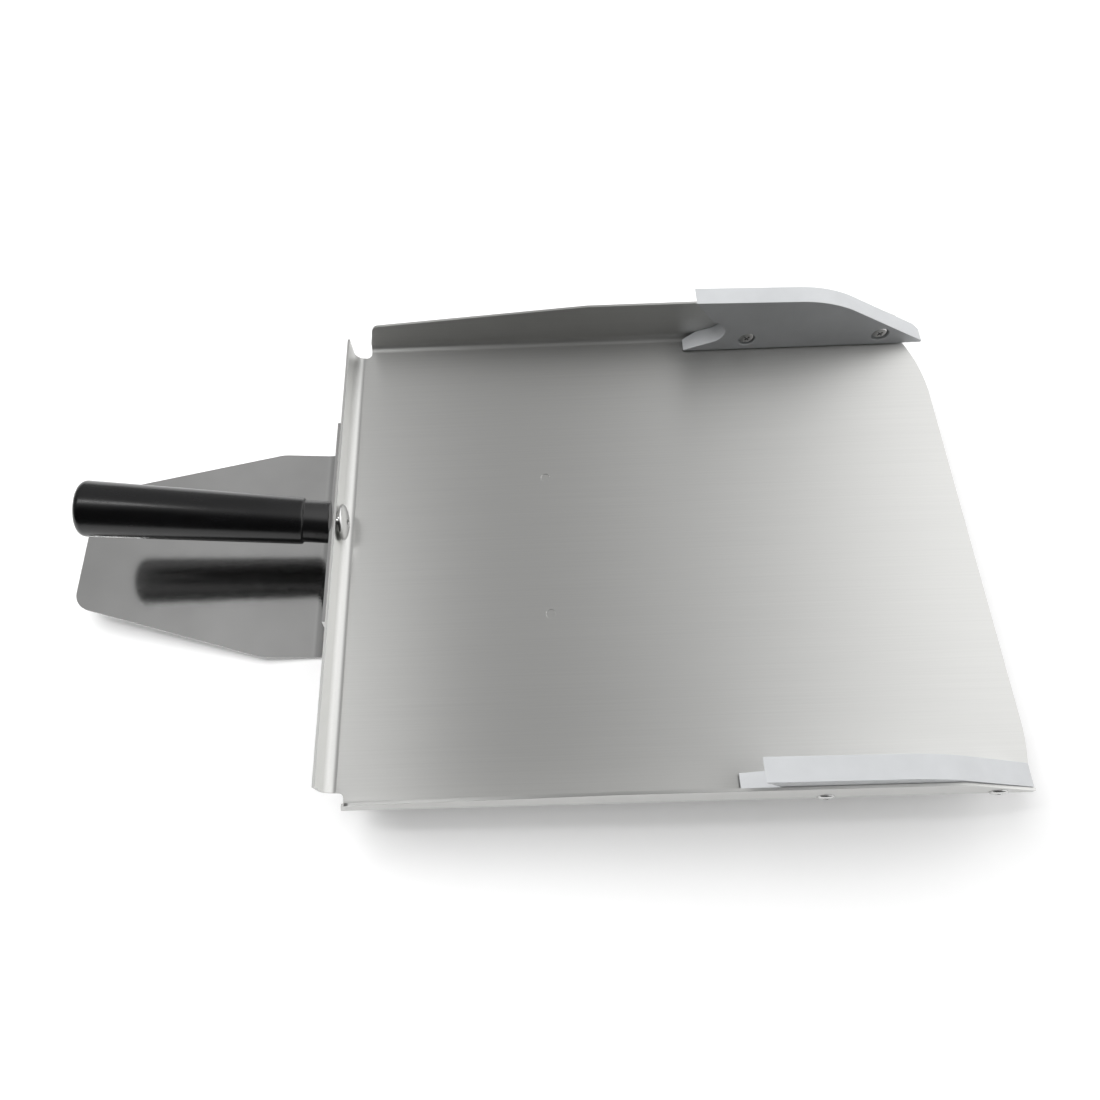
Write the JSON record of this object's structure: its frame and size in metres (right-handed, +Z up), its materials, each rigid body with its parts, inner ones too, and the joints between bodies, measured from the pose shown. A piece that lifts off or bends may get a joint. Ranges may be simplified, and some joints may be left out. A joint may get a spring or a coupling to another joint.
{
  "type": "mortar scoop",
  "caption": "Shallow folded steel scoop for mortar or plaster, with low side walls, plastic side guards, a straight rear grip and a plate that shields the hand.",
  "frame": {"origin": "bottom centre of the bounding box, on the tray's centreline, at the level of the hand-guard plate's lowest line", "axes": "+X towards the open front edge, +Y to the left seen from behind the grip, +Z up out of the tray"},
  "size_m": [0.4962, 0.283, 0.0771],
  "materials": {
    "sheet_steel": "satin stainless sheet, lightly brushed along the tray",
    "guard_plastic": "satin white moulded plastic",
    "grip_plastic": "satin black moulded plastic",
    "bolt_steel": "polished stainless",
    "screw_steel": "plain stainless",
    "insert_brass": "turned"
  },
  "bodies": {
    "root": {"scoop_tray": "sheet_steel", "hand_guard_plate": "sheet_steel", "side_guard_left": "guard_plastic", "side_guard_right": "guard_plastic", "handle_grip": "grip_plastic", "handle_insert": "insert_brass", "handle_bolt": "bolt_steel", "bolt_spacer": "bolt_steel", "guard_screw_left_rear": "screw_steel", "guard_sleeve_left_rear": "screw_steel", "guard_screw_left_front": "screw_steel", "guard_sleeve_left_front": "screw_steel", "guard_screw_right_rear": "screw_steel", "guard_sleeve_right_rear": "screw_steel", "guard_screw_right_front": "screw_steel", "guard_sleeve_right_front": "screw_steel"}
  },
  "joints": []
}
